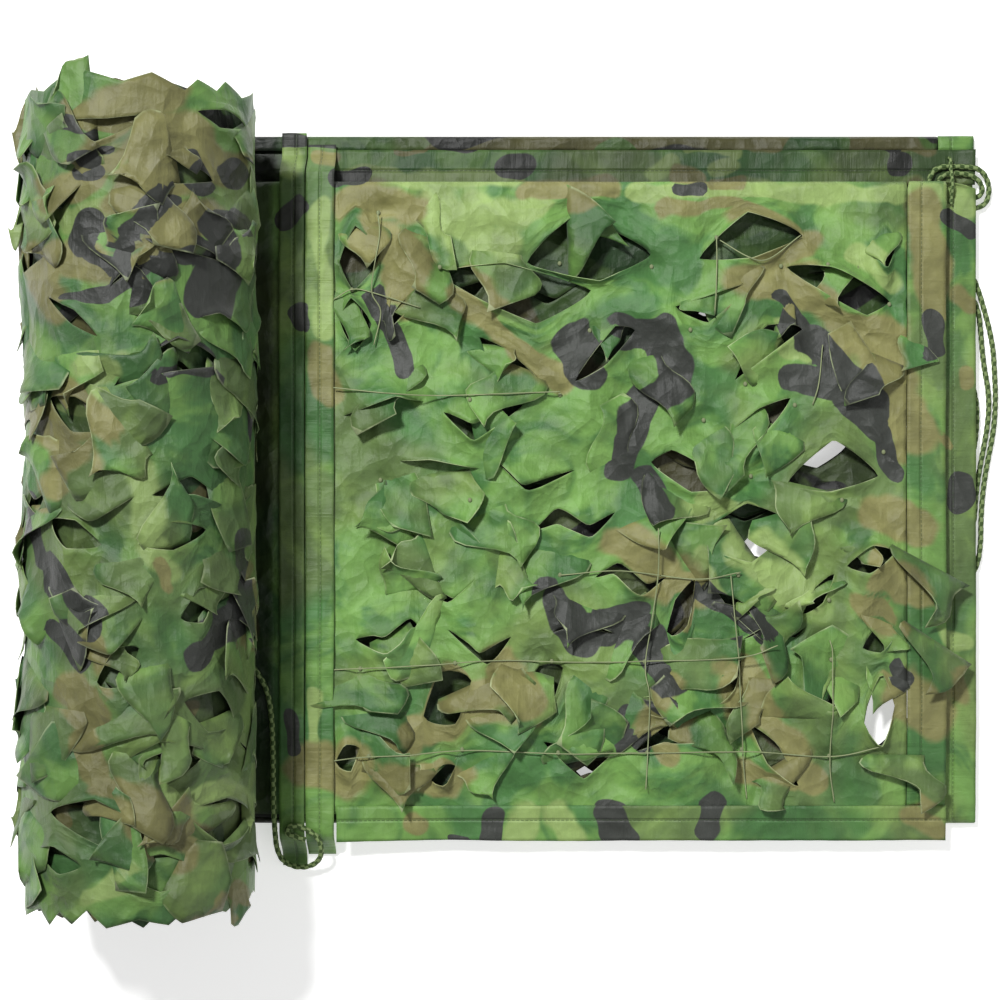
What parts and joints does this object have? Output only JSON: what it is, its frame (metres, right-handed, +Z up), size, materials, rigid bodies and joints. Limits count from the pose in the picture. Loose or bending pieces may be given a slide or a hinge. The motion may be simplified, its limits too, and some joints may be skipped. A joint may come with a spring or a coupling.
{
  "type": "camouflage net",
  "caption": "Leaf-cut cloth net with taped edges, folded lengthwise, one part wound into a roll and the rest laid flat, with rope at its corners.",
  "frame": {"origin": "middle of the footprint without the ropes, on the surface that the net lies on", "axes": "+Z up; the roll lies along Y on the -X side, and the flat run leaves it towards +X"},
  "size_m": [0.9033, 0.72, 0.2098],
  "materials": {
    "leaf_cloth": "coated woven cloth with a woodland print, slightly glossy creases",
    "bound_edge": "folded and stitched strip of the same coated cloth",
    "rope": "matte braided cord in two greens"
  },
  "bodies": {
    "root": {"net_roll": "leaf_cloth", "net_run": "leaf_cloth", "tape_end": "bound_edge", "tape_front": "bound_edge", "tape_back": "bound_edge", "seam_tape_left": "bound_edge", "seam_tape_right": "bound_edge", "hitch_outer": "rope", "hitch_inner": "rope", "hitch_loop": "rope", "hank_outer": "rope", "hank_inner": "rope", "corner_rope": "rope"}
  },
  "joints": []
}
